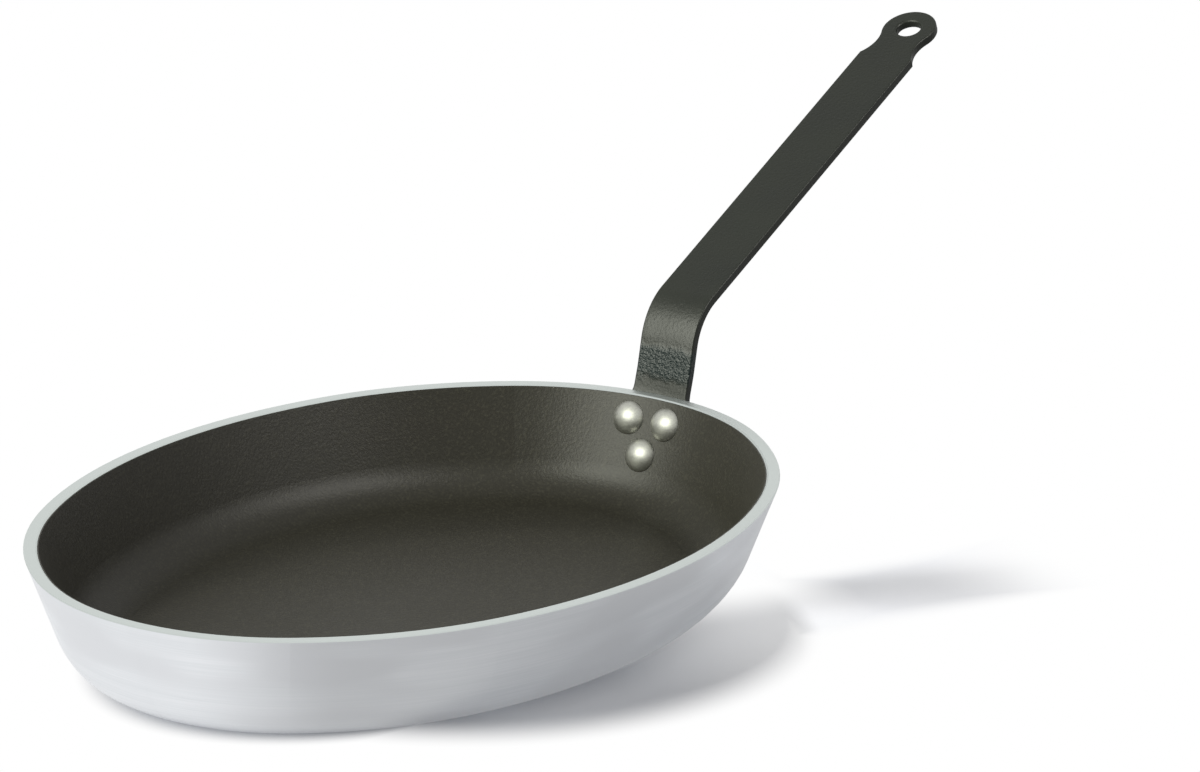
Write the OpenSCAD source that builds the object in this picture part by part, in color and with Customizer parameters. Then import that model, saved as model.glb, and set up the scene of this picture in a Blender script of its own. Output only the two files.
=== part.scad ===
// Oval omelette pan: pressed aluminium body, non-stick coating, riveted strip-steel handle.
// The origin is the centre of the base's underside, +X points along the oval to the handle, +Z is up.

/* [Pan] */
// Length of the oval over the rim
pan_length = 360; // [340:1:380]
// Width of the oval over the rim
pan_width = 260.8; // [252:0.2:270]
// Rim radius of the arc at each end of the oval
end_r = 100; // [96:1:106]
// Height of the rim above the table
pan_height = 47.5; // [42:0.5:60]
// Thickness of the pressed aluminium
wall_t = 5; // [3:0.5:6]
// Lean of the wall outward from upright, in degrees
wall_lean = 20.61; // [14:0.01:26]
// Outside radius between base and wall
base_r = 26; // [18:1:32]
// Bevel on both edges of the rim
rim_bevel = 0.5; // [0.2:0.1:1.2]

/* [Coating] */
// Thickness of the non-stick coating
coat_t = 0.5; // [0.3:0.1:1]

/* [Rivets] */
// Diameter of each shank
shank_d = 6; // [4:0.5:7]
// Diameter of the domed head inside the pan
head_d = 14; // [10:0.1:15]
// Height of the domed head
head_h = 4.4; // [2.5:0.1:5.5]
// Diameter of the set tail behind the handle
tail_d = 11; // [8:0.5:13]
// Height of the set tail
tail_h = 2.4; // [1.5:0.1:4]
// Distance between the two upper rivets
rivet_spread = 19; // [16:0.5:22]
// Distance down the wall from the rim to the upper rivets
upper_drop = 12; // [10:0.1:14]
// Distance down the wall from the upper rivets to the lower one
rivet_step = 14.5; // [13:0.1:17]
// Play between a shank and its holes, on the radius
hole_play = 0.1; // [0.05:0.05:0.3]
// Clearance under the heads and the tails
seat_play = 0.05; // [0.02:0.01:0.2]

/* [Handle] */
// Width of the steel strip
strip_w = 26; // [22:0.5:30]
// Thickness of the steel strip
strip_t = 4; // [3:0.5:5]
// Metal kept round each rivet's centre at the foot
foot_r = 9; // [7.5:0.5:11]
// Radius of the fillets where the foot narrows to the strip
foot_fillet = 20; // [4:1:40]
// Paint film between the handle's foot and the wall
seat_gap = 0.1; // [0.05:0.05:0.3]
// Height over which the foot's curve dies out above the rim
fade_rise = 10; // [5:0.5:20]
// Lean of the leg outward from upright, in degrees
leg_lean = 12.2; // [5:0.1:13]
// Radius of the slight bend where the leg leaves the wall
kick_r = 12; // [6:1:30]
// Length of the straight leg between its two bends
leg_rise = 20; // [15:0.1:45]
// Radius of the bend on the strip's upper face
bend_r = 27; // [12:0.1:40]
// Climb of the grip above level, in degrees
grip_angle = 24.2; // [5:0.1:45]
// Length of the grip from the bend to the shoulders
grip_length = 168.2; // [120:0.1:230]

/* [Eyelet] */
// Distance from the shoulders to the hanging hole
eye_reach = 20.5; // [19:0.1:26]
// Diameter of the rounded end
eye_d = 24.2; // [20:0.1:26]
// Diameter of the hanging hole
hang_d = 10.5; // [8:0.5:14]
// Bevel round both ends of the hanging hole
hang_bevel = 1; // [0.2:0.1:1.5]
// Radius of the scoop between shoulder and rounded end
scoop_r = 17; // [14:0.5:24]

/* [Hidden] */

aluminium = "#c9ccd0";
coating_black = "#3a3835";
handle_black = "#2f3331";
rivet_metal = "#b9bab8";

turn_fn = 240;    // facets of a preview circle on the pan
small_fn = 72;    // facets of a preview circle on rivets and holes
over = 1;         // how far a cutting shape runs past what it cuts
lap = 0.01;       // how far the pieces of one solid run into each other

// Rounds to a thousandth, so that neighbouring slices of the oval meet exactly
function snap(v) = round(v * 1000) / 1000;

// The rim is an oval of eight arcs with three radii. Its arcs join where the rim's normal points
// along these whole-number directions, whose lengths are 5 and 13.
join_low = [4, 3];
join_high = [5, 12];
half_l = pan_length / 2;
half_w = pan_width / 2;
end_gap = [half_l - end_r, half_w - end_r];
gain_low = norm(join_low) - join_low.y;       // width gained per step along each join direction
gain_high = norm(join_high) - join_high.y;
det = join_low.x * gain_high - join_high.x * gain_low;
shift_low = (end_gap.x * gain_high - end_gap.y * join_high.x) / det;
shift_high = (join_low.x * end_gap.y - gain_low * end_gap.x) / det;
shoulder_r = end_r + norm(join_low) * shift_low;
side_r = shoulder_r + norm(join_high) * shift_high;
end_c = [end_gap.x, 0];
shoulder_c = end_c - shift_low * join_low;
side_c = shoulder_c - shift_high * join_high;
wedge_reach = 60;     // multiples of a join direction that reach past the rim
slice_lap = 0.002;    // how far neighbouring slices run into each other

// Wall section: insets are measured inward from the rim
lean_s = sin(wall_lean);
lean_c = cos(wall_lean);
lean_t = lean_s / lean_c;
corner_u = snap((pan_height - base_r * (1 - lean_s)) * lean_t + base_r * lean_c);
floor_strip = 8;                    // width of flat floor on each slice
plate_lap = 5;                      // overlap of the floor plate and the slices
ring_w = corner_u + floor_strip;
plate_u = ring_w - plate_lap;
plate_step = 10;                    // degrees between the plate's corners

// Rivets stand square to the wall, so the outer pair fans out round the end arc
lower_drop = upper_drop + rivet_step;
upper_wall_r = end_r - upper_drop * lean_s;
rivet_fan = asin(rivet_spread / 2 / upper_wall_r);
lining_t = wall_t + coat_t;
head_seat = pow(head_d / 2, 2) / 2 / (upper_wall_r - lining_t) + seat_play;    // flat on a hollow wall

// Handle: distances run along the strip's upper face, from 0 at the rim
kick = wall_lean - leg_lean;
turn = 90 - leg_lean - grip_angle;
kick_end = kick_r * kick * PI / 180;
leg_end = kick_end + leg_rise;
bend_end = leg_end + bend_r * turn * PI / 180;
shoulder_q = bend_end + grip_length;
eye_q = shoulder_q + eye_reach;
eye_r = eye_d / 2;
side_links = 10;      // facets across the strip
leg_links = 5;        // facets up the leg
bend_links = 12;      // facets round the bend
arc_step = 7;         // degrees between outline points
tip_angle = 4;        // half the angle left flat at each rounded end

// Sets out children on the wall: +Z is the wall's outward normal, +X runs down the wall
module on_wall(fan, drop) {
    translate([end_c.x, end_c.y, 0]) rotate([0, 0, fan])
        translate([end_r - drop * lean_s, 0, pan_height - drop * lean_c])
            rotate([0, wall_lean + 90, 0]) children();
}

// Solid section of the vessel up to a skin at depth d under the outer face, for an arc of radius r
module vessel_section(r, d, top, bevel) {
    centre = [r - corner_u, base_r];
    tangent = centre + [snap((base_r - d) * lean_c), -snap((base_r - d) * lean_s)];
    bevel_z = pan_height - abs(bevel);
    function wall_x(z) = snap(tangent.x + (z - tangent.y) * lean_t);
    polygon([
        [r - ring_w - over, d],
        [centre.x, d],
        tangent,
        [wall_x(bevel_z), bevel_z],
        [snap(wall_x(bevel_z) + abs(bevel) * lean_t - bevel), pan_height],
        [snap(wall_x(bevel_z) + abs(bevel) * lean_t - bevel), top],
        [r - ring_w - over, top]
    ]);
    intersection() {
        translate(centre) circle(r = base_r - d, $fn = turn_fn);
        polygon([centre, centre - [0, 2 * base_r], centre + [2 * base_r, -2 * base_r],
            centre + 2 * (tangent - centre)]);
    }
}

// Section of the metal wall with a bevelled rim
module metal_section(r) {
    intersection() {
        difference() {
            vessel_section(r, 0, pan_height, rim_bevel);
            vessel_section(r, wall_t, pan_height + over, -rim_bevel);
        }
        translate([r - ring_w, 0]) square([ring_w + over, pan_height]);
    }
}

// Section of the coating, from the floor to the foot of the rim's inner bevel
module coating_section(r) {
    intersection() {
        difference() {
            vessel_section(r, wall_t, pan_height, 0);
            vessel_section(r, lining_t, pan_height, 0);
        }
        translate([r - ring_w, 0]) square([ring_w, pan_height - rim_bevel]);
    }
}

// The slice of a turned ring that lies between two directions from its centre
function beside(v, side) = slice_lap * side * [-v.y, v.x] / norm(v);
module slice(centre, from, to) {
    start = centre + beside(from, -1);
    end = centre + beside(to, 1);
    intersection() {
        translate([centre.x, centre.y, 0]) rotate_extrude($fn = turn_fn) children();
        linear_extrude(height = pan_height + over)
            polygon([centre, start, start + wedge_reach * from, end + wedge_reach * to, end]);
    }
}

module both_ends() {
    children();
    mirror([1, 0, 0]) children();
}

module both_sides() {
    children();
    mirror([0, 1, 0]) children();
}

// Corner of the floor plate where the oval's normal points along angle t, from 0 to 90
function arc_point(c, r, t) = [snap(c.x + (r - plate_u) * cos(t)), snap(c.y + (r - plate_u) * sin(t))];
function plate_point(t) =
    t < atan2(join_low.y, join_low.x) ? arc_point(end_c, end_r, t)
    : t < atan2(join_high.y, join_high.x) ? arc_point(shoulder_c, shoulder_r, t)
    : arc_point(side_c, side_r, t);

// Middle of the floor, inside the ring of slices
module floor_plate(bottom, thickness) {
    translate([0, 0, bottom]) linear_extrude(height = thickness)
        both_ends() both_sides()
            polygon([[0, 0], for (t = [0:plate_step:90]) plate_point(t)]);
}

// Holes for all three shanks, this long to either side of the wall's outer face
module rivet_holes(reach) {
    for (place = [[rivet_fan, upper_drop], [-rivet_fan, upper_drop], [0, lower_drop]])
        on_wall(place[0], place[1])
            cylinder(r = shank_d / 2 + hole_play, h = 2 * reach, center = true, $fn = small_fn);
}

module pan_body() {
    color(aluminium) difference() {
        union() {
            both_ends() slice(end_c, [join_low.x, -join_low.y], join_low) metal_section(end_r);
            both_ends() both_sides() slice(shoulder_c, join_low, join_high) metal_section(shoulder_r);
            both_sides() slice(side_c, join_high, [-join_high.x, join_high.y]) metal_section(side_r);
            floor_plate(0, wall_t);
        }
        rivet_holes(wall_t + over);
    }
}

module nonstick_coating() {
    color(coating_black) difference() {
        union() {
            both_ends() slice(end_c, [join_low.x, -join_low.y], join_low) coating_section(end_r);
            both_ends() both_sides() slice(shoulder_c, join_low, join_high) coating_section(shoulder_r);
            both_sides() slice(side_c, join_high, [-join_high.x, join_high.y]) coating_section(side_r);
            floor_plate(wall_t, coat_t);
        }
        rivet_holes(lining_t + over);
    }
}

// Path of the strip's upper face in the plane y = 0, as a place and a direction
function share(q, from, to) = min(max((q - from) / (to - from), 0), 1);
function heading(q) = wall_lean - share(q, 0, kick_end) * kick + share(q, leg_end, bend_end) * turn;
function along(a) = [sin(a), cos(a)];
function under(a) = [cos(a), -sin(a)];
rim_p = [half_l, pan_height] + seat_gap * under(wall_lean);
kick_c = rim_p - kick_r * under(wall_lean);
leg_p = kick_c + kick_r * under(leg_lean);
bend_c = leg_p + leg_rise * along(leg_lean) + bend_r * under(leg_lean);
grip_p = bend_c - bend_r * under(leg_lean + turn);
function place(q) =
    q < 0 ? rim_p + q * along(wall_lean)
    : q < kick_end ? kick_c + kick_r * under(heading(q))
    : q < leg_end ? leg_p + (q - kick_end) * along(leg_lean)
    : q < bend_end ? bend_c - bend_r * under(heading(q))
    : grip_p + (q - bend_end) * along(leg_lean + turn);

// The foot is pressed to the wall's curve, which dies out above the rim
foot_curve_r = end_r / lean_c;
function cross_curve(q) =
    q < 0 ? 1 / (foot_curve_r + q * lean_t) : (1 - share(q, 0, fade_rise)) / foot_curve_r;
function dish(y, k, t) = k == 0 ? 0 : (1 / k + t) - sqrt(pow(1 / k + t, 2) - y * y);
function strip_point(q, y, t) =
    let (at = place(q) + (t - dish(y, cross_curve(q), t)) * under(heading(q))) [at.x, y, at.y];

// Outline of the flat blank as distance along the strip and half width
edge_run = [rivet_step, rivet_spread / 2];
edge_angle = atan2(edge_run.y, edge_run.x);
neck_base = [0, strip_w / 2];
eye_gap = [eye_reach, 0] - neck_base;
scoop_side = (pow(norm(eye_gap), 2) + pow(scoop_r, 2) - pow(scoop_r + eye_r, 2)) / 2 / norm(eye_gap);
scoop_out = sqrt(pow(scoop_r, 2) - pow(scoop_side, 2));
scoop_c = neck_base + scoop_side * eye_gap / norm(eye_gap)
    + scoop_out * [-eye_gap.y, eye_gap.x] / norm(eye_gap);
scoop_from = atan2(neck_base.y - scoop_c.y, neck_base.x - scoop_c.x);
scoop_to = atan2(-scoop_c.y, eye_reach - scoop_c.x);
fillet_rise = strip_w / 2 + foot_fillet - rivet_spread / 2;
fillet_run = sqrt(pow(foot_r + foot_fillet, 2) - pow(fillet_rise, 2));
fillet_c = [fillet_run - upper_drop, strip_w / 2 + foot_fillet];
fillet_angle = atan2(fillet_rise, fillet_run);

function steps(from, to) =
    let (n = ceil(abs(to - from) / arc_step)) [for (i = [0:n]) from + (to - from) * i / n];
blank = concat(
    [for (a = steps(tip_angle, 90 - edge_angle)) [-lower_drop - foot_r * cos(a), foot_r * sin(a)]],
    [for (a = steps(90 - edge_angle, 180 - fillet_angle))
        [-upper_drop - foot_r * cos(a), rivet_spread / 2 + foot_r * sin(a)]],
    [for (a = steps(fillet_angle - 180, -90))
        if (a > fillet_angle - 180) fillet_c + foot_fillet * [cos(a), sin(a)]],
    [for (i = [1:leg_links]) [fillet_c.x + (leg_end - fillet_c.x) * i / leg_links, strip_w / 2]],
    [for (i = [1:bend_links]) [leg_end + (bend_end - leg_end) * i / bend_links, strip_w / 2]],
    [for (a = steps(scoop_from, scoop_to))
        [shoulder_q + scoop_c.x + scoop_r * cos(a), scoop_c.y + scoop_r * sin(a)]],
    [for (a = steps(scoop_to + 180, tip_angle))
        if (a < scoop_to + 180) [eye_q + eye_r * cos(a), eye_r * sin(a)]]
);

// The blank bent to shape: rings of points round the strip's section, joined end to end
module bent_strip() {
    ring = 2 * (side_links + 1);
    count = len(blank);
    points = [for (b = blank) each concat(
        [for (j = [0:side_links]) strip_point(b[0], b[1] * (1 - 2 * j / side_links), 0)],
        [for (j = [0:side_links]) strip_point(b[0], b[1] * (2 * j / side_links - 1), strip_t)])];
    walls = [for (i = [0:count - 2], j = [0:ring - 1])
        let (a = i * ring + j, b = i * ring + (j + 1) % ring)
        each [[a, b, b + ring], [a, b + ring, a + ring]]];
    last = (count - 1) * ring;
    caps = [for (j = [0:side_links - 1])
        let (m = ring - 1 - j)
        each [[j, m, m - 1], [j, m - 1, j + 1],
            [last + j, last + m - 1, last + m], [last + j, last + j + 1, last + m - 1]]];
    polyhedron(points, concat(walls, caps));
}

// Sets out children at the hanging hole: +Z is square to the strip, from its upper face down
module at_eye() {
    eye = place(eye_q);
    translate([eye.x, 0, eye.y]) rotate([0, 90 + leg_lean + turn, 0]) children();
}

// Cone that widens the hanging hole towards a face at z = 0, cut from above that face
module bevel_cut() {
    translate([0, 0, -over])
        cylinder(d1 = hang_d + 2 * (hang_bevel + over), d2 = hang_d - 2 * over,
            h = hang_bevel + 2 * over, $fn = small_fn);
}

module handle() {
    color(handle_black) difference() {
        bent_strip();
        rivet_holes(seat_gap + strip_t + over);
        at_eye() {
            cylinder(d = hang_d, h = 2 * (strip_t + over), center = true, $fn = small_fn);
            bevel_cut();
            translate([0, 0, strip_t]) mirror([0, 0, 1]) bevel_cut();
        }
    }
}

// Dome of given base diameter and height, standing on z = 0
module dome(d, h) {
    ball_r = (pow(d / 2, 2) + h * h) / 2 / h;
    intersection() {
        translate([0, 0, h - ball_r]) sphere(r = ball_r, $fn = small_fn);
        cylinder(d = d + over, h = h + over, $fn = small_fn);
    }
}

// Rivet driven from inside the pan through coating, wall and handle
module rivet(fan, drop) {
    grip_end = seat_gap + strip_t + seat_play;
    color(rivet_metal) on_wall(fan, drop) {
        translate([0, 0, -lining_t - head_seat - lap])
            cylinder(d = shank_d, h = lining_t + head_seat + grip_end + 2 * lap, $fn = small_fn);
        translate([0, 0, -lining_t - head_seat]) mirror([0, 0, 1]) dome(head_d, head_h);
        translate([0, 0, grip_end]) dome(tail_d, tail_h);
    }
}

module rivet_upper_left() { rivet(rivet_fan, upper_drop); }
module rivet_upper_right() { rivet(-rivet_fan, upper_drop); }
module rivet_lower() { rivet(0, lower_drop); }

pan_body();
nonstick_coating();
handle();
rivet_upper_left();
rivet_upper_right();
rivet_lower();
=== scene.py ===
"""Looks of an oval non-stick omelette pan with a riveted strip-steel handle."""

import math

import bmesh
import bpy
from bpy.props import FloatProperty, FloatVectorProperty, PointerProperty, StringProperty
from mathutils import Matrix, Vector


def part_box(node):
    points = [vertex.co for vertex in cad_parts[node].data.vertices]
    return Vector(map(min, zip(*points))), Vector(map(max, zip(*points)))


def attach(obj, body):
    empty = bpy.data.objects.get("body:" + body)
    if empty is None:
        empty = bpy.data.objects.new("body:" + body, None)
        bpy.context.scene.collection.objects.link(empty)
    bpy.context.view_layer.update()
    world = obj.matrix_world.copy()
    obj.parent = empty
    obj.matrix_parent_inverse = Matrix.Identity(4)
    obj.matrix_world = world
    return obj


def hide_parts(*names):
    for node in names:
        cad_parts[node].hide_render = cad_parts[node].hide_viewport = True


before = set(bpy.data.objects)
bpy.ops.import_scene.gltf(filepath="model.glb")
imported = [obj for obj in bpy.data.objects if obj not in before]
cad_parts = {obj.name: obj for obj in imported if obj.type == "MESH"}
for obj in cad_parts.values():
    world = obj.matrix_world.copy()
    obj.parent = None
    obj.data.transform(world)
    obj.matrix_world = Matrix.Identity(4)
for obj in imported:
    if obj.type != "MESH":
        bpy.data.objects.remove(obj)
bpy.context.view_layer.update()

bl_info = {
    "name": "Oval omelette pan",
    "version": (1, 0, 0),
    "blender": (4, 5, 0),
    "location": "View3D > Sidebar > Omelette pan",
    "description": "Finishes, handle and studio for an oval non-stick omelette pan",
    "category": "Object",
}

BODY = "root"
RIVETS = ("rivet_upper_left", "rivet_upper_right", "rivet_lower")
MM = 0.001

RIM_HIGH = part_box("pan_body")[1]


# Settings


class PanFinish(bpy.types.PropertyGroup):
    """Colours and grain of the vessel and its lining."""

    aluminium: StringProperty(
        name="Aluminium", description="sRGB colour of the brushed outside", default="#E9EBEE"
    )
    brush_line: StringProperty(
        name="Brush line", description="sRGB colour down in the brush lines", default="#DFE2E5"
    )
    wiped: StringProperty(
        name="Wiped", description="sRGB colour of the dull patches", default="#DEE0E3"
    )
    rim: StringProperty(
        name="Rim", description="sRGB colour of the machined rim", default="#CDD3D0"
    )
    lining: StringProperty(
        name="Lining", description="sRGB colour of the non-stick coating", default="#151410"
    )
    lining_fleck: StringProperty(
        name="Lining fleck", description="sRGB colour of the coating's paler grains", default="#22211B"
    )
    brush_pitch: FloatProperty(
        name="Brush pitch", description="Spacing of the brush lines", default=0.45 * MM, unit="LENGTH"
    )
    grain: FloatProperty(
        name="Grain", description="Size of the coating's grain", default=1.2 * MM, unit="LENGTH"
    )


class HandleSizes(bpy.types.PropertyGroup):
    """Sizes and colours of the bent strip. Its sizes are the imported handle's, but it has rounded edges
    and lips, and a tighter fillet at the foot."""

    width: FloatProperty(name="Width", description="Width of the strip", default=26 * MM, unit="LENGTH")
    thickness: FloatProperty(
        name="Thickness", description="Thickness of the strip", default=4 * MM, unit="LENGTH"
    )
    edge: FloatProperty(
        name="Edge", description="Radius of the tumbled edges", default=0.7 * MM, unit="LENGTH"
    )
    wall_lean: FloatProperty(
        name="Wall lean", description="Lean of the pan's wall from upright",
        default=math.radians(20.61), unit="ROTATION",
    )
    leg_lean: FloatProperty(
        name="Leg lean", description="Lean of the leg from upright",
        default=math.radians(12.2), unit="ROTATION",
    )
    grip_angle: FloatProperty(
        name="Grip angle", description="Climb of the grip above level",
        default=math.radians(24.2), unit="ROTATION",
    )
    end_radius: FloatProperty(
        name="End radius", description="Rim radius that the foot is pressed to",
        default=100 * MM, unit="LENGTH",
    )
    seat_gap: FloatProperty(
        name="Seat gap", description="Paint film between foot and wall", default=0.1 * MM, unit="LENGTH"
    )
    fade_rise: FloatProperty(
        name="Fade rise", description="Height over which the foot's curve dies out above the rim",
        default=10 * MM, unit="LENGTH",
    )
    kick_radius: FloatProperty(
        name="Kick radius", description="Radius of the slight bend where the leg leaves the wall",
        default=12 * MM, unit="LENGTH",
    )
    leg_rise: FloatProperty(
        name="Leg rise", description="Length of the leg between its bends", default=20 * MM, unit="LENGTH"
    )
    bend_radius: FloatProperty(
        name="Bend radius", description="Radius of the bend on the upper face",
        default=27 * MM, unit="LENGTH",
    )
    grip_length: FloatProperty(
        name="Grip length", description="Length from the bend to the shoulders",
        default=168.2 * MM, unit="LENGTH",
    )
    eye_reach: FloatProperty(
        name="Eye reach", description="Distance from the shoulders to the hanging hole",
        default=20.5 * MM, unit="LENGTH",
    )
    eye_diameter: FloatProperty(
        name="Eye", description="Diameter of the rounded end", default=24.2 * MM, unit="LENGTH"
    )
    hole_diameter: FloatProperty(
        name="Hanging hole", description="Diameter of the hanging hole", default=10.5 * MM, unit="LENGTH"
    )
    hole_lip: FloatProperty(
        name="Hole lip", description="Radius of the hanging hole's rounded lips",
        default=1.1 * MM, unit="LENGTH",
    )
    scoop_radius: FloatProperty(
        name="Scoops", description="Radius of the scoops beside the eye", default=17 * MM, unit="LENGTH"
    )
    foot_radius: FloatProperty(
        name="Foot corner", description="Metal kept round each rivet", default=9 * MM, unit="LENGTH"
    )
    foot_fillet: FloatProperty(
        name="Foot fillet", description="Radius where foot meets strip", default=13 * MM, unit="LENGTH"
    )
    rivet_spread: FloatProperty(
        name="Rivet spread", description="Distance between the upper rivets",
        default=19 * MM, unit="LENGTH",
    )
    upper_drop: FloatProperty(
        name="Upper drop", description="Distance from the rim down to the upper rivets",
        default=12 * MM, unit="LENGTH",
    )
    rivet_step: FloatProperty(
        name="Rivet step", description="Distance from the upper rivets to the lower one",
        default=14.5 * MM, unit="LENGTH",
    )
    shank_hole: FloatProperty(
        name="Shank hole", description="Diameter of the rivet holes", default=6.2 * MM, unit="LENGTH"
    )
    colour: StringProperty(
        name="Enamel", description="sRGB colour of the epoxy enamel", default="#10120E"
    )
    colour_low: StringProperty(
        name="Enamel low", description="sRGB colour of the enamel's darker clouds", default="#0C0E0B"
    )
    # Painted shade: the darker colour painted on the creased band of the leg
    colour_band_shade: StringProperty(
        name="Enamel band shade", description="sRGB colour of the painted shade on the creased band", default="#081010"
    )
    peel: FloatProperty(
        name="Orange peel", description="Size of the ripples in the enamel",
        default=1.3 * MM, unit="LENGTH",
    )


class RivetFinish(bpy.types.PropertyGroup):
    """Look of the set rivets."""

    colour: StringProperty(name="Rivet", description="sRGB colour of the rivets", default="#C9CBC1")
    scuffed: StringProperty(
        name="Scuffed", description="sRGB colour down in the scuffs", default="#94938E"
    )
    # Painted shade round each dome's foot, where it meets the lining
    skirt_shade: StringProperty(
        name="Skirt", description="sRGB colour where the dome meets the lining", default="#4C4B47"
    )


class StageSettings(bpy.types.PropertyGroup):
    """Camera, lamps and floor."""

    azimuth: FloatProperty(
        name="Azimuth", description="Direction of the view round the pan",
        default=math.radians(-56.279), unit="ROTATION",
    )
    elevation: FloatProperty(
        name="Elevation", description="Height of the view above level",
        default=math.radians(17.194), unit="ROTATION",
    )
    roll: FloatProperty(
        name="Roll", description="Tilt of the picture", default=math.radians(0.675), unit="ROTATION"
    )
    aim: FloatVectorProperty(
        name="Aim", description="Point in the middle of the picture",
        default=(64.461 * MM, -47.201 * MM, 88.585 * MM), subtype="XYZ", unit="LENGTH",
    )
    distance: FloatProperty(
        name="Distance", description="From the camera to the aim", default=2742.77 * MM, unit="LENGTH"
    )
    lens: FloatProperty(
        name="Lens", description="Focal length on a 36 mm wide sensor", default=207.50, unit="CAMERA"
    )
    floor_colour: StringProperty(name="Floor", description="sRGB colour of the floor", default="#F2F3F6")
    key_power: FloatProperty(name="Key", description="Strength of the key lamp", default=4.1)
    left_power: FloatProperty(
        name="Left", description="Power of the left softbox", default=245.0, unit="POWER"
    )
    right_power: FloatProperty(
        name="Right", description="Power of the right softbox", default=58.0, unit="POWER"
    )
    rivet_power: FloatProperty(
        name="Rivet lamp", description="Power of the small lamp for the rivets",
        default=57.0, unit="POWER",
    )
    sky: FloatProperty(name="Sky", description="Even light from all round", default=0.34)


# Shared helpers

# The mix node's sockets are called by number, because several of them share a name
FACTOR, COLOUR_A, COLOUR_B, MIXED_COLOUR = 0, 6, 7, 2
FLOAT_A, FLOAT_B = 2, 3


def linear(hex_colour):
    """An sRGB hex colour as linear RGBA."""
    parts = [int(hex_colour[i : i + 2], 16) / 255 for i in (1, 3, 5)]
    return (*[p / 12.92 if p <= 0.04045 else ((p + 0.055) / 1.055) ** 2.4 for p in parts], 1.0)


def add(tree, kind, inputs=None, **settings):
    """Adds a node, sets its settings and feeds its inputs from values or from other nodes' outputs."""
    made = tree.nodes.new(kind)
    for name, value in settings.items():
        setattr(made, name, value)
    for name, value in (inputs or {}).items():
        if isinstance(value, bpy.types.NodeSocket):
            tree.links.new(value, made.inputs[name])
        else:
            made.inputs[name].default_value = value
    return made


def new_material(name):
    """An empty material and its node tree."""
    made = bpy.data.materials.new(name)
    made.use_nodes = True
    made.node_tree.nodes.clear()
    return made, made.node_tree


def finish_material(tree, shader):
    """Sends a shader to the material's surface."""
    add(tree, "ShaderNodeOutputMaterial", {"Surface": shader.outputs[0]})


def wear(piece, finish):
    """Gives a mesh one material."""
    piece.data.materials.clear()
    piece.data.materials.append(finish)


def smooth(piece, angle=30):
    """Shades a piece smooth, with its true edges kept."""
    piece.data.shade_smooth()
    piece.data.set_sharp_from_angle(angle=math.radians(angle))


def mesh_object(name, bm):
    """A linked object from a bmesh, with its normals facing out."""
    bmesh.ops.recalc_face_normals(bm, faces=bm.faces)
    mesh = bpy.data.meshes.new(name)
    bm.to_mesh(mesh)
    bm.free()
    made = bpy.data.objects.new(name, mesh)
    bpy.context.scene.collection.objects.link(made)
    return made


def apply_modifiers(piece):
    """Swaps a piece's mesh for the one its modifiers make."""
    graph = bpy.context.evaluated_depsgraph_get()
    made = bpy.data.meshes.new_from_object(piece.evaluated_get(graph))
    old = piece.data
    piece.modifiers.clear()
    piece.data = made
    bpy.data.meshes.remove(old)


# Vessel

RIM_DEPTH = 0.5 * MM
RIM_BLEND = 0.06 * MM
RIM_ROUGHNESS = 0.5
LINING_CLOUD = 60 * MM


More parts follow.
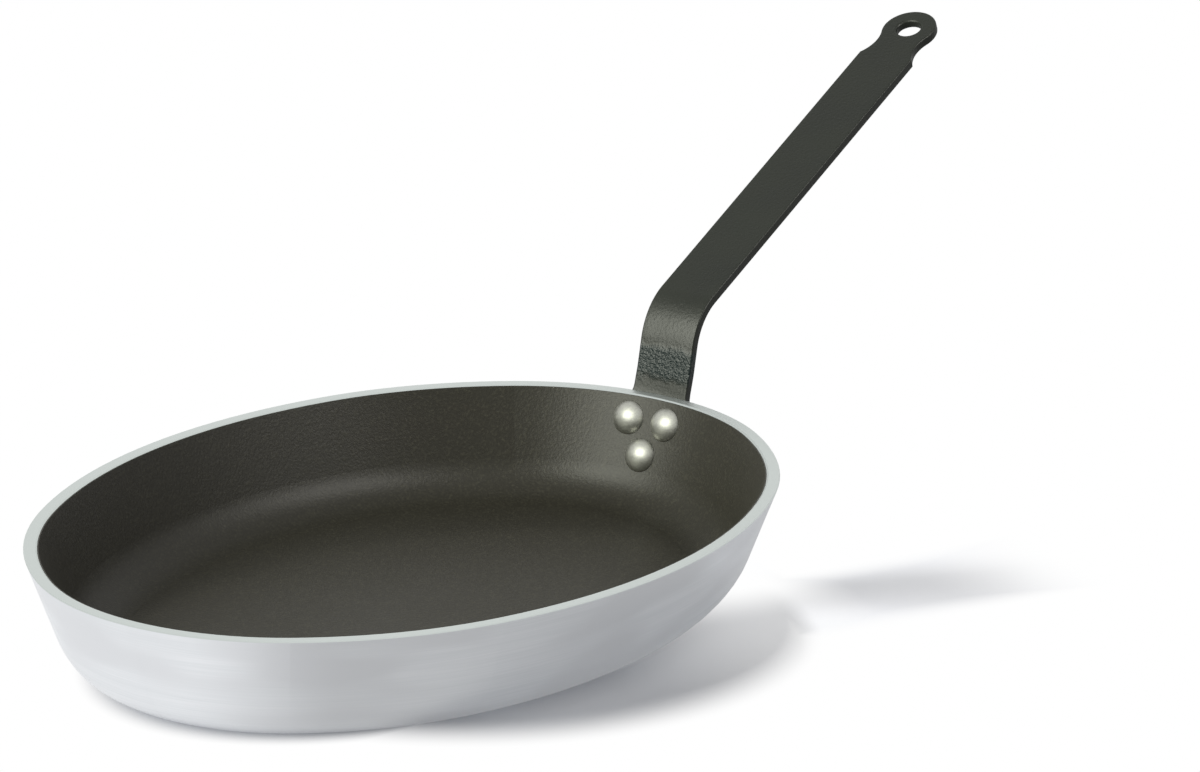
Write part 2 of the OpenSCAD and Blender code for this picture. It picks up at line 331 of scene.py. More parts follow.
def brushed_aluminium(finish):
    """Pressed aluminium, brushed round the wall with a fine abrasive belt. The eye sees a bright satin
    skin whose faint level lines drag each highlight sideways, and an even, duller cut rim."""
    made, tree = new_material("pressed aluminium, belt-brushed")
    place = add(tree, "ShaderNodeTexCoord").outputs["Object"]
    # A real brush line is about 0.1 mm wide, too fine to show here, so it is drawn at the brush pitch.
    # The bands are where the belt pressed harder, and the patches are where the wall was wiped
    patterns = {}
    for name, size, detail, coarseness in (
        ("lines", (45 * MM, 45 * MM, finish.brush_pitch), 2.0, 0.6),
        ("bands", (167 * MM, 167 * MM, 5 * MM), 3.0, 0.5),
        ("patches", (60 * MM, 60 * MM, 18 * MM), 1.0, 0.5),
    ):
        stretched = add(tree, "ShaderNodeVectorMath", {0: place, 1: size}, operation="DIVIDE")
        patterns[name] = add(tree, "ShaderNodeTexNoise", {
            "Vector": stretched.outputs[0], "Scale": 1.0, "Detail": detail, "Roughness": coarseness,
        }).outputs[0]
    brushing = add(tree, "ShaderNodeMath", {0: patterns["lines"], 1: patterns["bands"]},
                   operation="ADD").outputs[0]
    shade = add(tree, "ShaderNodeMapRange", {
        "Value": brushing, "From Min": 0.7, "From Max": 1.3, "To Min": 0.0, "To Max": 1.0,
    })
    brushed = add(tree, "ShaderNodeMix", {
        FACTOR: shade.outputs[0], COLOUR_A: linear(finish.brush_line), COLOUR_B: linear(finish.aluminium),
    }, data_type="RGBA")
    unwiped = add(tree, "ShaderNodeMapRange", {
        "Value": patterns["patches"], "From Min": 0.38, "From Max": 0.62, "To Min": 0.0, "To Max": 1.0,
    }, interpolation_type="SMOOTHSTEP")
    wall_colour = add(tree, "ShaderNodeMix", {
        FACTOR: unwiped.outputs[0], COLOUR_A: linear(finish.wiped),
        COLOUR_B: brushed.outputs[MIXED_COLOUR],
    }, data_type="RGBA")
    # The cut rim is the flat top and its two bevels
    rim_low = RIM_HIGH.z - RIM_DEPTH
    height = add(tree, "ShaderNodeSeparateXYZ", {0: place}).outputs["Z"]
    on_rim = add(tree, "ShaderNodeMapRange", {
        "Value": height, "From Min": rim_low - RIM_BLEND, "From Max": rim_low,
        "To Min": 0.0, "To Max": 1.0,
    }).outputs[0]
    colour = add(tree, "ShaderNodeMix", {
        FACTOR: on_rim, COLOUR_A: wall_colour.outputs[MIXED_COLOUR], COLOUR_B: linear(finish.rim),
    }, data_type="RGBA")
    rough_wall = add(tree, "ShaderNodeMapRange", {
        "Value": brushing, "From Min": 0.6, "From Max": 1.4, "To Min": 0.40, "To Max": 0.46,
    })
    rough = add(tree, "ShaderNodeMix", {
        FACTOR: on_rim, FLOAT_A: rough_wall.outputs[0], FLOAT_B: RIM_ROUGHNESS,
    }, data_type="FLOAT")
    bump = add(tree, "ShaderNodeBump", {
        "Strength": 0.15, "Distance": 0.02 * MM, "Height": patterns["lines"],
    })
    shader = add(tree, "ShaderNodeBsdfPrincipled", {
        "Base Color": colour.outputs[MIXED_COLOUR], "Metallic": 1.0, "Roughness": rough.outputs[0],
        "Normal": bump.outputs[0],
    })
    finish_material(tree, shader)
    return made


def nonstick_lining(finish):
    """PTFE lining, sprayed in coats and baked. The eye sees a warm near-black that is matt head on,
    with a soft sheen where it turns away and a fine grain from the spray."""
    made, tree = new_material("PTFE lining, sprayed and baked")
    place = add(tree, "ShaderNodeTexCoord").outputs["Object"]
    # A real grain is about 0.2 mm across, too fine to show here, so it is drawn six times as coarse
    grain = add(tree, "ShaderNodeTexNoise", {
        "Vector": place, "Scale": 1 / finish.grain, "Detail": 3.0, "Roughness": 0.65,
    })
    cloud = add(tree, "ShaderNodeTexNoise", {
        "Vector": place, "Scale": 1 / LINING_CLOUD, "Detail": 2.0, "Roughness": 0.5,
    })
    fleck = add(tree, "ShaderNodeMapRange", {
        "Value": grain.outputs[0], "From Min": 0.5, "From Max": 0.72, "To Min": 0.0, "To Max": 0.8,
    })
    colour = add(tree, "ShaderNodeMix", {
        FACTOR: fleck.outputs[0], COLOUR_A: linear(finish.lining), COLOUR_B: linear(finish.lining_fleck),
    }, data_type="RGBA")
    rough = add(tree, "ShaderNodeMapRange", {
        "Value": cloud.outputs[0], "From Min": 0.3, "From Max": 0.7, "To Min": 0.40, "To Max": 0.46,
    })
    bump = add(tree, "ShaderNodeBump", {
        "Strength": 1.0, "Distance": 0.15 * MM, "Height": grain.outputs[0],
    })
    shader = add(tree, "ShaderNodeBsdfPrincipled", {
        "Base Color": colour.outputs[MIXED_COLOUR], "Roughness": rough.outputs[0], "IOR": 1.35,
        "Specular IOR Level": 0.24, "Normal": bump.outputs[0],
    })
    finish_material(tree, shader)
    return made


class PAN_OT_vessel(bpy.types.Operator):
    """Brushes the pressed body and coats its inside"""

    bl_idname = "omelette_pan.vessel"
    bl_label = "Vessel"

    def execute(self, context):
        finish = context.scene.pan_finish
        body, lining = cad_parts["pan_body"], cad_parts["nonstick_coating"]
        wear(body, brushed_aluminium(finish))
        wear(lining, nonstick_lining(finish))
        for piece in (body, lining):
            smooth(piece)
        return {"FINISHED"}


# Handle

# How finely the strip and its holes are drawn
ARC_STEP = math.radians(3)
LEG_STEPS = 8
BEND_STEPS = 24
GRIP_STEPS = 12
ACROSS_STEPS = 10
EDGE_STEPS = 4
LIP_STEPS = 6
EYE_SIDES = 96
SHANK_SIDES = 48
STRIP_SHARP_ANGLE = 40
# The outline's two end points lean sideways by this much, so that the edge's steps don't cross there
TIP_LEAN = 0.05
# How far a cutter goes past the strip's face
PAST_FACE = 1 * MM
ENAMEL_DIMPLE = 0.5 * MM
DIMPLE_SHARE = 0.3
ENAMEL_CLOUD = 30 * MM
# The creased band on the leg, where the enamel sags, whose darker colour is painted shade: where it
# starts and ends above the rim, and how it differs
SAG_SHADE_STARTS = (7 * MM, 12 * MM)
SAG_SHADE_ENDS = (20 * MM, 24 * MM)
SAG_SHADE_RAGGED = 6 * MM
SAG_ROUGHNESS = 0.34
SAG_DEEPER = 3.8


class StripPath:
    """Centre path of the bent strip in the plane y = 0, measured along its upper face from the rim."""

    def __init__(self, sizes):
        self.sizes = sizes
        self.kick = sizes.wall_lean - sizes.leg_lean
        self.turn = math.pi / 2 - sizes.leg_lean - sizes.grip_angle
        self.kick_end = sizes.kick_radius * self.kick
        self.leg_end = self.kick_end + sizes.leg_rise
        self.bend_end = self.leg_end + sizes.bend_radius * self.turn
        self.shoulder = self.bend_end + sizes.grip_length
        self.eye = self.shoulder + sizes.eye_reach
        rim = Vector((RIM_HIGH.x, RIM_HIGH.z))
        self.rim_at = rim + sizes.seat_gap * self.under(sizes.wall_lean)
        self.kick_centre = self.rim_at - sizes.kick_radius * self.under(sizes.wall_lean)
        self.leg_at = self.kick_centre + sizes.kick_radius * self.under(sizes.leg_lean)
        bend_at = self.leg_at + sizes.leg_rise * self.along(sizes.leg_lean)
        self.bend_centre = bend_at + sizes.bend_radius * self.under(sizes.leg_lean)
        self.grip_lean = sizes.leg_lean + self.turn
        self.grip_at = self.bend_centre - sizes.bend_radius * self.under(self.grip_lean)

    @staticmethod
    def along(angle):
        """The way up a strip that leans this far from upright."""
        return Vector((math.sin(angle), math.cos(angle)))

    @staticmethod
    def under(angle):
        """The way out of its under face."""
        return Vector((math.cos(angle), -math.sin(angle)))

    @staticmethod
    def share(q, start, end):
        """How far q has come from start to end, from 0 to 1."""
        return min(max((q - start) / (end - start), 0), 1)

    def heading(self, q):
        """Angle of the strip from upright."""
        kicked = self.sizes.wall_lean - self.share(q, 0, self.kick_end) * self.kick
        return kicked + self.share(q, self.leg_end, self.bend_end) * self.turn

    def place(self, q):
        """The point of the path at a distance along the upper face."""
        if q < 0:
            return self.rim_at + q * self.along(self.sizes.wall_lean)
        if q < self.kick_end:
            return self.kick_centre + self.sizes.kick_radius * self.under(self.heading(q))
        if q < self.leg_end:
            return self.leg_at + (q - self.kick_end) * self.along(self.sizes.leg_lean)
        if q < self.bend_end:
            return self.bend_centre - self.sizes.bend_radius * self.under(self.heading(q))
        return self.grip_at + (q - self.bend_end) * self.along(self.grip_lean)

    def dish(self, q, y, t):
        """How far a point is pressed back to follow the wall's curve, which dies out up the leg."""
        radius = self.sizes.end_radius / math.cos(self.sizes.wall_lean)
        if q >= self.sizes.fade_rise:
            return 0.0
        if q > 0:
            radius /= 1 - q / self.sizes.fade_rise
        else:
            radius += q * math.tan(self.sizes.wall_lean)
        return radius + t - math.sqrt((radius + t) ** 2 - y * y)

    def point(self, q, y, t):
        """The place of a point of the flat blank: along the strip, across it and below its upper face."""
        at = self.place(q) + (t - self.dish(q, y, t)) * self.under(self.heading(q))
        return Vector((at.x, y, at.y))


def arc(centre, radius, start, end):
    """Points on an arc, with both ends."""
    count = max(2, math.ceil(abs(end - start) / ARC_STEP))
    turns = [start + (end - start) * i / count for i in range(count + 1)]
    return [
        Vector((centre[0] + radius * math.cos(a), centre[1] + radius * math.sin(a))) for a in turns
    ]


def blank_outline(sizes, path):
    """Half outline of the flat blank, from the foot's tip to the eye's tip, as (along, half width)."""
    half = sizes.width / 2
    lower = -(sizes.upper_drop + sizes.rivet_step)
    edge = math.atan2(sizes.rivet_spread / 2, sizes.rivet_step)
    rise = half + sizes.foot_fillet - sizes.rivet_spread / 2
    run = math.sqrt((sizes.foot_radius + sizes.foot_fillet) ** 2 - rise**2)
    fillet = (run - sizes.upper_drop, half + sizes.foot_fillet)
    fillet_angle = math.atan2(rise, run)
    eye_radius = sizes.eye_diameter / 2
    base, gap = Vector((path.shoulder, half)), Vector((sizes.eye_reach, -half))
    apart = sizes.scoop_radius + eye_radius
    side = (gap.length_squared + sizes.scoop_radius**2 - apart**2) / 2 / gap.length
    out = math.sqrt(sizes.scoop_radius**2 - side**2)
    scoop = base + gap.normalized() * side + Vector((-gap.y, gap.x)).normalized() * out
    scoop_from = math.atan2(base.y - scoop.y, base.x - scoop.x)
    scoop_to = math.atan2(-scoop.y, path.eye - scoop.x)
    # Round the lower rivet and an upper one, then the fillet, the strip's side, the scoop and the eye
    points = arc((lower, 0), sizes.foot_radius, math.pi - ARC_STEP, math.pi / 2 + edge)
    points += arc((-sizes.upper_drop, sizes.rivet_spread / 2), sizes.foot_radius,
                  math.pi / 2 + edge, fillet_angle)
    points += arc(fillet, sizes.foot_fillet, fillet_angle - math.pi, -math.pi / 2)[1:]
    for start, end, steps in (
        (points[-1].x, path.leg_end, LEG_STEPS),
        (path.leg_end, path.bend_end, BEND_STEPS),
        (path.bend_end, path.shoulder, GRIP_STEPS),
    ):
        points += [Vector((start + (end - start) * i / steps, half)) for i in range(1, steps + 1)]
    # The shoulder is the last of these points and the scoop's first
    points.pop()
    points += arc(scoop, sizes.scoop_radius, scoop_from, scoop_to)
    points += arc((path.eye, 0), eye_radius, scoop_to + math.pi, ARC_STEP)[1:]
    return points


def lathe(name, profile, at, sides):
    """A turned solid from (radius, height) pairs, set at a matrix."""
    bm = bmesh.new()
    rings = []
    for radius, height in profile:
        rings.append([
            bm.verts.new(at @ Vector((radius * math.cos(a), radius * math.sin(a), height)))
            for a in (2 * math.pi * i / sides for i in range(sides))
        ])
    for low, high in zip(rings, rings[1:]):
        for i in range(sides):
            j = (i + 1) % sides
            bm.faces.new((low[i], low[j], high[j], high[i]))
    bm.faces.new(rings[0])
    bm.faces.new(rings[-1])
    return mesh_object(name, bm)


def strip_mesh(sizes, path):
    """The blank with tumbled edges, bent to shape."""
    outline = blank_outline(sizes, path)
    count = len(outline)
    normals = []
    for i, point in enumerate(outline):
        before, after = outline[max(i - 1, 0)], outline[min(i + 1, count - 1)]
        run = (after - before).normalized()
        normals.append(Vector((-run.y, run.x)))
    normals[0] = Vector((-1, TIP_LEAN)).normalized()
    normals[-1] = Vector((1, TIP_LEAN)).normalized()
    # Steps round the two tumbled edges, as (inset from the outline, depth below the upper face)
    turns = [math.pi / 2 * k / EDGE_STEPS for k in range(EDGE_STEPS + 1)]
    edge = [(sizes.edge * (1 - math.sin(a)), sizes.edge * (1 - math.cos(a))) for a in turns]
    edge += [(inset, sizes.thickness - depth) for inset, depth in reversed(edge)]
    bm = bmesh.new()
    # Each station has the strip's left and right edges and the points across its upper and under face
    stations = []
    for point, normal in zip(outline, normals):
        left, right = [], []
        for inset, depth in edge:
            q, y = point - inset * normal
            left.append(bm.verts.new(path.point(q, y, depth)))
            right.append(bm.verts.new(path.point(q, -y, depth)))
        rows = []
        for inset, depth in (edge[0], edge[-1]):
            q, y = point - inset * normal
            rows.append([
                bm.verts.new(path.point(q, y * (1 - 2 * j / ACROSS_STEPS), depth))
                for j in range(1, ACROSS_STEPS)
            ])
        top, bottom = [left[0], *rows[0], right[0]], [left[-1], *rows[1], right[-1]]
        stations.append((left, right, top, bottom))
    for one, two in zip(stations, stations[1:]):
        for a, b in zip(one, two):
            for i in range(len(a) - 1):
                bm.faces.new((a[i], a[i + 1], b[i + 1], b[i]))
    for left, right, top, bottom in (stations[0], stations[-1]):
        bm.faces.new([*top, right[1], left[1]])
        bm.faces.new([*bottom, right[-2], left[-2]])
        for k in range(1, len(left) - 2):
            bm.faces.new((left[k], right[k], right[k + 1], left[k + 1]))
    return bm


def black_enamel(sizes):
    """Black epoxy enamel, baked on steel strip. The eye sees a green-black satin skin, orange-peel
    ripples where a lamp rakes it, and a thin bright line along each tumbled edge."""
    made, tree = new_material("epoxy enamel, baked on steel")
    place = add(tree, "ShaderNodeTexCoord").outputs["Object"]
    patterns = {}
    for name, size, detail in (
        ("peel", sizes.peel, 2.0),
        ("dimple", ENAMEL_DIMPLE, 1.0),
        ("ragged", SAG_SHADE_RAGGED, 2.0),
        ("cloud", ENAMEL_CLOUD, 2.0),
    ):
        patterns[name] = add(tree, "ShaderNodeTexNoise", {
            "Vector": place, "Scale": 1 / size, "Detail": detail, "Roughness": 0.5,
        }).outputs[0]
    ripple = add(tree, "ShaderNodeMath", {0: patterns["dimple"], 1: DIMPLE_SHARE, 2: patterns["peel"]},
                 operation="MULTIPLY_ADD")
    # On the leg the enamel sags into deep creases, in a band with ragged edges, which is also painted
    # darker as painted shade
    height = add(tree, "ShaderNodeSeparateXYZ", {0: place}).outputs["Z"]
    wavy = add(tree, "ShaderNodeMath", {0: patterns["ragged"], 1: SAG_SHADE_RAGGED, 2: height},
               operation="MULTIPLY_ADD").outputs[0]
    edges = []
    for (start, end), low, high in ((SAG_SHADE_STARTS, 0.0, 1.0), (SAG_SHADE_ENDS, 1.0, 0.0)):
        edges.append(add(tree, "ShaderNodeMapRange", {
            "Value": wavy, "From Min": RIM_HIGH.z + start, "From Max": RIM_HIGH.z + end,
            "To Min": low, "To Max": high,
        }, interpolation_type="SMOOTHSTEP").outputs[0])
    sag_and_shade = add(tree, "ShaderNodeMath", {0: edges[0], 1: edges[1]}, operation="MULTIPLY").outputs[0]
    deeper = add(tree, "ShaderNodeMath", {0: sag_and_shade, 1: SAG_DEEPER, 2: 1.0}, operation="MULTIPLY_ADD")
    relief = add(tree, "ShaderNodeMath", {0: ripple.outputs[0], 1: deeper.outputs[0]},
                 operation="MULTIPLY")
    even_colour = add(tree, "ShaderNodeMix", {
        FACTOR: patterns["cloud"], COLOUR_A: linear(sizes.colour_low), COLOUR_B: linear(sizes.colour),
    }, data_type="RGBA")
    # Painted shade: the creased band gets a darker colour
    colour = add(tree, "ShaderNodeMix", {
        FACTOR: sag_and_shade, COLOUR_A: even_colour.outputs[MIXED_COLOUR],
        COLOUR_B: linear(sizes.colour_band_shade),
    }, data_type="RGBA")
    even_rough = add(tree, "ShaderNodeMapRange", {
        "Value": patterns["cloud"], "From Min": 0.35, "From Max": 0.65, "To Min": 0.32, "To Max": 0.50,
    })
    rough = add(tree, "ShaderNodeMix", {
        FACTOR: sag_and_shade, FLOAT_A: even_rough.outputs[0], FLOAT_B: SAG_ROUGHNESS,
    }, data_type="FLOAT")
    bump = add(tree, "ShaderNodeBump", {
        "Strength": 0.8, "Distance": 0.16 * MM, "Height": relief.outputs[0],
    })
    shader = add(tree, "ShaderNodeBsdfPrincipled", {
        "Base Color": colour.outputs[MIXED_COLOUR], "Roughness": rough.outputs[0], "IOR": 1.5,
        "Specular IOR Level": 0.16, "Normal": bump.outputs[0],
    })
    finish_material(tree, shader)
    return made


def on_wall(sizes, fan, drop):
    """Where a rivet stands on the wall: +Z is the wall's outward normal and +X runs down the wall."""
    lean = sizes.wall_lean
    centre = Matrix.Translation((RIM_HIGH.x - sizes.end_radius, 0, 0))
    out = Vector((sizes.end_radius - drop * math.sin(lean), 0, RIM_HIGH.z - drop * math.cos(lean)))
    tilt = Matrix.Rotation(lean + math.pi / 2, 4, "Y")
    return centre @ Matrix.Rotation(fan, 4, "Z") @ Matrix.Translation(out) @ tilt


def hole_cutters(sizes, path):
    """Turned cutters for the hanging hole, with its rounded lips, and for the three rivet holes."""
    eye = path.place(path.eye)
    tilt = Matrix.Rotation(math.pi / 2 + path.grip_lean, 4, "Y")
    hole = sizes.hole_diameter / 2
    turns = [math.pi / 2 * k / LIP_STEPS for k in range(LIP_STEPS, -1, -1)]
    lip = [
        (hole + sizes.hole_lip * (1 - math.cos(a)), sizes.hole_lip * (1 - math.sin(a))) for a in turns
    ]
    profile = [(hole + sizes.hole_lip, -PAST_FACE), *lip]
    profile += [(radius, sizes.thickness - depth) for radius, depth in reversed(profile)]
    at_eye = Matrix.Translation((eye.x, 0, eye.y)) @ tilt
    cutters = [lathe("eye_cutter", profile, at_eye, EYE_SIDES)]
    wall_radius = sizes.end_radius - sizes.upper_drop * math.sin(sizes.wall_lean)
    fan = math.asin(sizes.rivet_spread / 2 / wall_radius)
    reach = sizes.thickness + PAST_FACE
    shank = [(sizes.shank_hole / 2, -reach), (sizes.shank_hole / 2, reach)]
    lower = sizes.upper_drop + sizes.rivet_step
    for turn, drop in ((fan, sizes.upper_drop), (-fan, sizes.upper_drop), (0, lower)):
        cutters.append(lathe("shank_cutter", shank, on_wall(sizes, turn, drop), SHANK_SIDES))
    return cutters


class PAN_OT_handle(bpy.types.Operator):
    """Bends the strip handle with its foot, scoops, eye and tumbled edges"""

    bl_idname = "omelette_pan.handle"
    bl_label = "Handle"

    def execute(self, context):
        sizes = context.scene.handle_sizes
        path = StripPath(sizes)
        strip = mesh_object("handle_strip", strip_mesh(sizes, path))
        cutters = hole_cutters(sizes, path)
        for cutter in cutters:
            cut = strip.modifiers.new("cut", "BOOLEAN")
            cut.object, cut.solver = cutter, "EXACT"
        apply_modifiers(strip)
        for cutter in cutters:
            bpy.data.objects.remove(cutter)
        smooth(strip, STRIP_SHARP_ANGLE)
        even = strip.modifiers.new("even faces", "WEIGHTED_NORMAL")
        even.keep_sharp = True
        wear(strip, black_enamel(sizes))
        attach(strip, BODY)
        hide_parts("handle")
        return {"FINISHED"}


# Rivets

RIVET_DENT = 2.2 * MM
RIVET_SCUFF = 0.5 * MM
# How far the painted shade round each dome's foot reaches
SKIRT_SHADE_REACH = 2.5 * MM


def satin_rivet(finish):
    """Solid aluminium rivets, headed cold and tumbled. The eye sees a soft bright spot on each dome,
    a few shallow dents from the tumbling, and a painted shade round each dome's foot, where it meets the
    lining."""
    made, tree = new_material("aluminium rivet, tumbled")
    place = add(tree, "ShaderNodeTexCoord").outputs["Object"]
    dents = add(tree, "ShaderNodeTexNoise", {
        "Vector": place, "Scale": 1 / RIVET_DENT, "Detail": 2.0, "Roughness": 0.5,
    })
    # Real tumbling scuffs are about 0.1 mm wide, too fine to show here, so they are drawn coarser
    scuffs = add(tree, "ShaderNodeTexNoise", {
        "Vector": place, "Scale": 1 / RIVET_SCUFF, "Detail": 2.0, "Roughness": 0.6,
    })
    colour = add(tree, "ShaderNodeMix", {
        FACTOR: scuffs.outputs[0], COLOUR_A: linear(finish.scuffed), COLOUR_B: linear(finish.colour),
    }, data_type="RGBA")
    # Painted shade: the colour darkens round the dome's foot, where it meets the lining, as far as the
    # occlusion reaches
    nook = add(tree, "ShaderNodeAmbientOcclusion", {"Distance": SKIRT_SHADE_REACH}).outputs["AO"]
    tumbled = add(tree, "ShaderNodeMapRange", {
        "Value": nook, "From Min": 0.45, "From Max": 0.85, "To Min": 0.0, "To Max": 1.0,
    })
    shaded = add(tree, "ShaderNodeMix", {
        FACTOR: tumbled.outputs[0], COLOUR_A: linear(finish.skirt_shade),
        COLOUR_B: colour.outputs[MIXED_COLOUR],
    }, data_type="RGBA")
    rough = add(tree, "ShaderNodeMapRange", {
        "Value": scuffs.outputs[0], "From Min": 0.3, "From Max": 0.7, "To Min": 0.42, "To Max": 0.52,
    })
    bump = add(tree, "ShaderNodeBump", {
        "Strength": 0.25, "Distance": 0.12 * MM, "Height": dents.outputs[0],
    })
    shader = add(tree, "ShaderNodeBsdfPrincipled", {
        "Base Color": shaded.outputs[MIXED_COLOUR], "Metallic": 1.0, "Roughness": rough.outputs[0],
        "Normal": bump.outputs[0],
    })
    finish_material(tree, shader)
    return made


class PAN_OT_rivets(bpy.types.Operator):
    """Finishes the three rivets"""

    bl_idname = "omelette_pan.rivets"
    bl_label = "Rivets"

    def execute(self, context):
        finish = satin_rivet(context.scene.rivet_finish)
        for name in RIVETS:
            wear(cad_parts[name], finish)
            smooth(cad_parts[name])
        return {"FINISHED"}


# Stage

FLOOR_HALF = 12.0
# The sensor's width in mm, as the lens is
SENSOR_WIDTH = 36.0
CLIP_RANGE = (0.05, 50.0)
KEY_ANGLE = math.radians(7)
KEY_TOWARD = (-0.139, 0.836, 0.528)
LAMP_AIM = (50 * MM, 0, 40 * MM)
LAMP_DISTANCE = 2.2
# The base's outline is the rim's, drawn in by this much
BASE_INSET = 35.7 * MM
# Where the shadow is kept, in the pan's frame: a pool under the pan and a lane under the handle
POOL_CENTRE = (9 * MM, -19 * MM, 0)
LANE_ALONG = (0.900, -0.436, 0)
LANE_ACROSS = (0.436, 0.900, 0)
LANE_OFFSET = 63 * MM
# The way to the right in the picture, and the share of painted white in what the metal mirrors of the
# shadow
RIGHTWARD = (0.555, -0.832, 0)
MIRRORED_WHITE = 0.4
# Each ramp over the floor: the measure it follows, where it starts and ends, and its values there
FLOOR_RAMPS = {
    "outside_pool": ("from_pool", 114 * MM, 147 * MM, 0.0, 1.0),
    "outside_lane": ("from_lane", 14 * MM, 38 * MM, 0.0, 1.0),
    "before_lane": ("along", 104 * MM, 158 * MM, 1.0, 0.0),
    "past_lane": ("along", 200 * MM, 275 * MM, 0.12, 1.0),
    # The next three ramps paint white light into the pool's shadow, paling it toward the handle
    "pool_pales": ("along", 30 * MM, 136 * MM, 0.0, 1.0),
    "behind_lane": ("offset", -7 * MM, 33 * MM, 0.44, 1.0),
    "paling_stops": ("along", 146 * MM, 186 * MM, 1.0, 0.0),
    "off_base": ("from_base", 1.02, 1.15, 0.0, 1.0),
    # Painted shade: the glow that the metal mirrors is painted dimmer to the right
    "mirror_dims": ("rightward", -95 * MM, -10 * MM, 1.0, 0.6),
}


def seen_directly(tree):
    """1 for camera, mirror and glass rays, and 0 for the rays that light a surface."""
    rays = add(tree, "ShaderNodeLightPath").outputs
    first = add(tree, "ShaderNodeMath", {0: rays["Is Camera Ray"], 1: rays["Is Glossy Ray"]},
                operation="MAXIMUM")
    return add(tree, "ShaderNodeMath", {0: first.outputs[0], 1: rays["Is Transmission Ray"]},
               operation="MAXIMUM").outputs[0]


def studio_floor(settings):
    """Matt white studio sweep. The eye sees an even white with only the pan's soft shadow on it: a
    round pool under the pan, which is painted paler toward the handle with white light, and a lane under
    the handle."""
    made, tree = new_material("matt white studio floor")
    place = add(tree, "ShaderNodeTexCoord").outputs["Object"]
    base_half = (RIM_HIGH.x - BASE_INSET, RIM_HIGH.y - BASE_INSET, 1)
    values = {}
    for name, against in (("along", LANE_ALONG), ("across", LANE_ACROSS), ("rightward", RIGHTWARD)):
        values[name] = add(tree, "ShaderNodeVectorMath", {0: place, 1: against},
                           operation="DOT_PRODUCT").outputs["Value"]
    for name, operation, against in (
        ("from_pool", "SUBTRACT", POOL_CENTRE),
        ("from_base", "DIVIDE", base_half),
    ):
        moved = add(tree, "ShaderNodeVectorMath", {0: place, 1: against}, operation=operation)
        values[name] = add(tree, "ShaderNodeVectorMath", {0: moved.outputs[0]},
                           operation="LENGTH").outputs["Value"]
    values["offset"] = add(tree, "ShaderNodeMath", {0: values["across"], 1: LANE_OFFSET},
                           operation="ADD").outputs[0]
    values["from_lane"] = add(tree, "ShaderNodeMath", {0: values["offset"]},
                              operation="ABSOLUTE").outputs[0]
    for name, (measure, start, end, low, high) in FLOOR_RAMPS.items():
        values[name] = add(tree, "ShaderNodeMapRange", {
            "Value": values[measure], "From Min": start, "From Max": end, "To Min": low, "To Max": high,
        }, interpolation_type="SMOOTHSTEP").outputs[0]
    rays = add(tree, "ShaderNodeLightPath").outputs
    values |= {
        "camera": rays["Is Camera Ray"], "glossy": rays["Is Glossy Ray"],
        "seen": seen_directly(tree), "mirrored_white": MIRRORED_WHITE,
    }
    # The share of plain white: none in the shadow, all outside it, and some in what the metal mirrors, as
    # painted light over the shadow there.
    # What it mirrors is painted dimmer to the right, away from the left softbox: a painted shade in the
    # metal's reflection
    for name, one, operation, two in (
        ("out_of_lane", "outside_lane", "MAXIMUM", "before_lane"),
        ("beside_lane", "out_of_lane", "MAXIMUM", "past_lane"),
        ("around", "outside_pool", "MINIMUM", "beside_lane"),
        # Painted light: white painted into the pool's shadow, paler toward the handle
        ("paling", "pool_pales", "MULTIPLY", "behind_lane"),
        ("paled", "paling", "MULTIPLY", "paling_stops"),
        ("open_floor", "around", "MAXIMUM", "paled"),
        ("lifted", "open_floor", "MINIMUM", "off_base"),
        ("mirrored", "glossy", "MULTIPLY", "mirrored_white"),
        ("cleared", "lifted", "MAXIMUM", "mirrored"),
        ("share", "cleared", "MULTIPLY", "seen"),
        ("glow", "mirror_dims", "MAXIMUM", "camera"),
    ):
        values[name] = add(tree, "ShaderNodeMath", {0: values[one], 1: values[two]},
                           operation=operation).outputs[0]
    matt = add(tree, "ShaderNodeBsdfDiffuse", {"Color": linear(settings.floor_colour)})
    white = add(tree, "ShaderNodeEmission", {"Color": (1, 1, 1, 1), "Strength": values["glow"]})
    shader = add(tree, "ShaderNodeMixShader", {
        0: values["share"], 1: matt.outputs[0], 2: white.outputs[0],
    })
    finish_material(tree, shader)
    return made


def lit_by(name, pieces, state):
    """A collection that lets a lamp light only these pieces, or all but these."""
    made = bpy.data.collections.new(name)
    for piece in pieces:
        made.objects.link(piece)
    for entry in made.collection_objects:
        entry.light_linking.link_state = state
    return made


def softbox(name, toward, width, height, power, colour):
    """A softbox that looks at the pan from a direction in the pan's frame."""
    lamp = bpy.data.lights.new(name, "AREA")
    lamp.shape, lamp.size, lamp.size_y, lamp.energy = "RECTANGLE", width, height, power
    lamp.color = linear(colour)[:3]
    made = bpy.data.objects.new(name, lamp)
    bpy.context.scene.collection.objects.link(made)
    direction = toward.normalized()
    made.location = Vector(LAMP_AIM) + direction * LAMP_DISTANCE
    made.rotation_euler = direction.to_track_quat("Z", "Y").to_euler()
    return made


def from_view(settings, right, away, up):
    """A direction given as right, away and up in the picture, turned into the pan's frame."""
    turned = Matrix.Rotation(settings.azimuth, 3, "Z")
    return turned @ Vector((right, away, up))


def set_camera(scene, settings):
    """The camera at the photo's angle."""
    forward = from_view(settings, 0, math.cos(settings.elevation), -math.sin(settings.elevation))
    level = from_view(settings, 1, 0, 0)
    upright = level.cross(forward)
    right = math.cos(settings.roll) * level + math.sin(settings.roll) * upright
    up = -math.sin(settings.roll) * level + math.cos(settings.roll) * upright
    camera = bpy.data.objects.new("camera", bpy.data.cameras.new("camera"))
    scene.collection.objects.link(camera)
    camera.data.sensor_width, camera.data.lens = SENSOR_WIDTH, settings.lens
    camera.data.clip_start, camera.data.clip_end = CLIP_RANGE
    turned = Matrix((right, up, -forward)).transposed().to_4x4()
    stands = Vector(settings.aim) - forward * settings.distance
    camera.matrix_world = Matrix.Translation(stands) @ turned
    scene.camera = camera


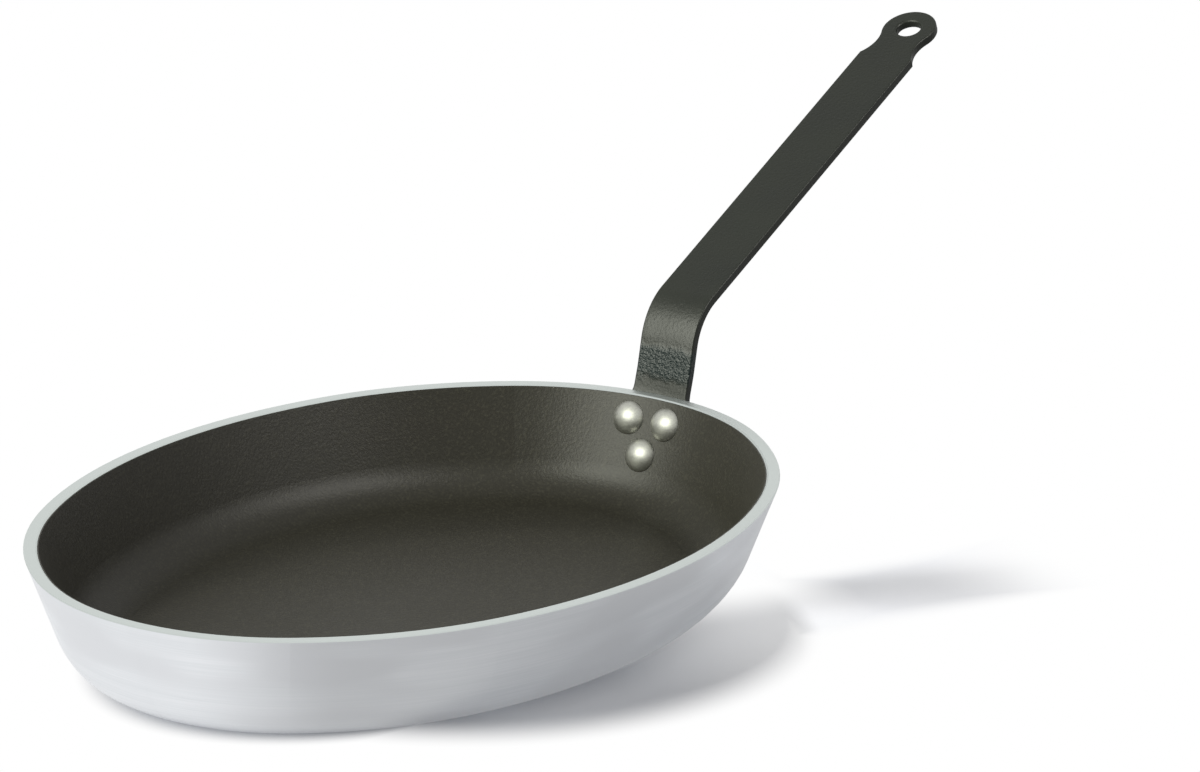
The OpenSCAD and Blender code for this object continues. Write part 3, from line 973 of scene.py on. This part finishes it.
def set_lamps(scene, settings, floor):
    """The key, two softboxes and a small lamp for the rivets."""
    key = bpy.data.objects.new("key", bpy.data.lights.new("key", "SUN"))
    scene.collection.objects.link(key)
    key.data.energy, key.data.angle = settings.key_power, KEY_ANGLE
    key.rotation_euler = from_view(settings, *KEY_TOWARD).to_track_quat("Z", "Y").to_euler()
    key.visible_glossy = False
    # The softboxes are flagged off the floor, so that it holds the key's shadow alone, and off the
    # bare metal, and the rivets have a small lamp of their own
    rivets = [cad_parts[name] for name in RIVETS]
    kept_off = [floor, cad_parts["pan_body"], *rivets]
    dark_parts = lit_by("all_but_floor_and_metal", kept_off, "EXCLUDE")
    rivets_only = lit_by("rivets_alone", rivets, "INCLUDE")
    # Each lamp's direction in the picture, its width and height in metres, its power and its colour
    for name, toward, width, height, power, colour, lit in (
        ("left", (-0.701, -0.509, 0.500), 1.8, 2.2, settings.left_power, "#F8FAEC", dark_parts),
        ("right", (0.718, -0.192, 0.669), 0.8, 1.3, settings.right_power, "#FFFDF6", dark_parts),
        ("rivet_lamp", (-0.394, -0.682, 0.616), 2.0, 1.7, settings.rivet_power, "#FDFFF2", rivets_only),
    ):
        lamp = softbox(name, from_view(settings, *toward), width, height, power, colour)
        lamp.light_linking.receiver_collection = lit


def set_world(scene, settings):
    """A plain white all round, as bright as the sky setting where it lights the pan."""
    world = bpy.data.worlds.new("studio")
    world.use_nodes = True
    tree = world.node_tree
    tree.nodes.clear()
    strength = add(tree, "ShaderNodeMapRange", {
        "Value": seen_directly(tree), "To Min": settings.sky, "To Max": 1.0,
    })
    sky = add(tree, "ShaderNodeBackground", {"Color": (1, 1, 1, 1), "Strength": strength.outputs[0]})
    add(tree, "ShaderNodeOutputWorld", {"Surface": sky.outputs[0]})
    scene.world = world


class PAN_OT_stage(bpy.types.Operator):
    """Sets up the floor, the lamps and the camera"""

    bl_idname = "omelette_pan.stage"
    bl_label = "Stage"

    def execute(self, context):
        settings = context.scene.stage_settings
        set_camera(context.scene, settings)
        bm = bmesh.new()
        bmesh.ops.create_grid(bm, x_segments=8, y_segments=8, size=FLOOR_HALF)
        floor = mesh_object("studio_floor", bm)
        wear(floor, studio_floor(settings))
        set_lamps(context.scene, settings, floor)
        set_world(context.scene, settings)
        context.scene.view_settings.view_transform = "Standard"
        return {"FINISHED"}


# Panel and registration


class PAN_PT_panel(bpy.types.Panel):
    """Lists the pan's pieces and their settings"""

    bl_idname = "PAN_PT_panel"
    bl_label = "Omelette pan"
    bl_space_type = "VIEW_3D"
    bl_region_type = "UI"
    bl_category = "Omelette pan"

    def draw(self, context):
        scene = context.scene
        for operator, settings in (
            (PAN_OT_vessel, scene.pan_finish),
            (PAN_OT_handle, scene.handle_sizes),
            (PAN_OT_rivets, scene.rivet_finish),
            (PAN_OT_stage, scene.stage_settings),
        ):
            box = self.layout.box()
            box.operator(operator.bl_idname)
            for name in settings.bl_rna.properties.keys():
                if name not in ("rna_type", "name"):
                    box.prop(settings, name)


CLASSES = (
    PanFinish, HandleSizes, RivetFinish, StageSettings,
    PAN_OT_vessel, PAN_OT_handle, PAN_OT_rivets, PAN_OT_stage, PAN_PT_panel,
)
SETTINGS = {
    "pan_finish": PanFinish, "handle_sizes": HandleSizes,
    "rivet_finish": RivetFinish, "stage_settings": StageSettings,
}


def register():
    for made in CLASSES:
        bpy.utils.register_class(made)
    for name, group in SETTINGS.items():
        setattr(bpy.types.Scene, name, PointerProperty(type=group))


def unregister():
    for name in SETTINGS:
        delattr(bpy.types.Scene, name)
    for made in reversed(CLASSES):
        bpy.utils.unregister_class(made)


def main():
    register()
    bpy.ops.omelette_pan.vessel()
    bpy.ops.omelette_pan.handle()
    bpy.ops.omelette_pan.rivets()
    bpy.ops.omelette_pan.stage()


if __name__ == "__main__":
    main()
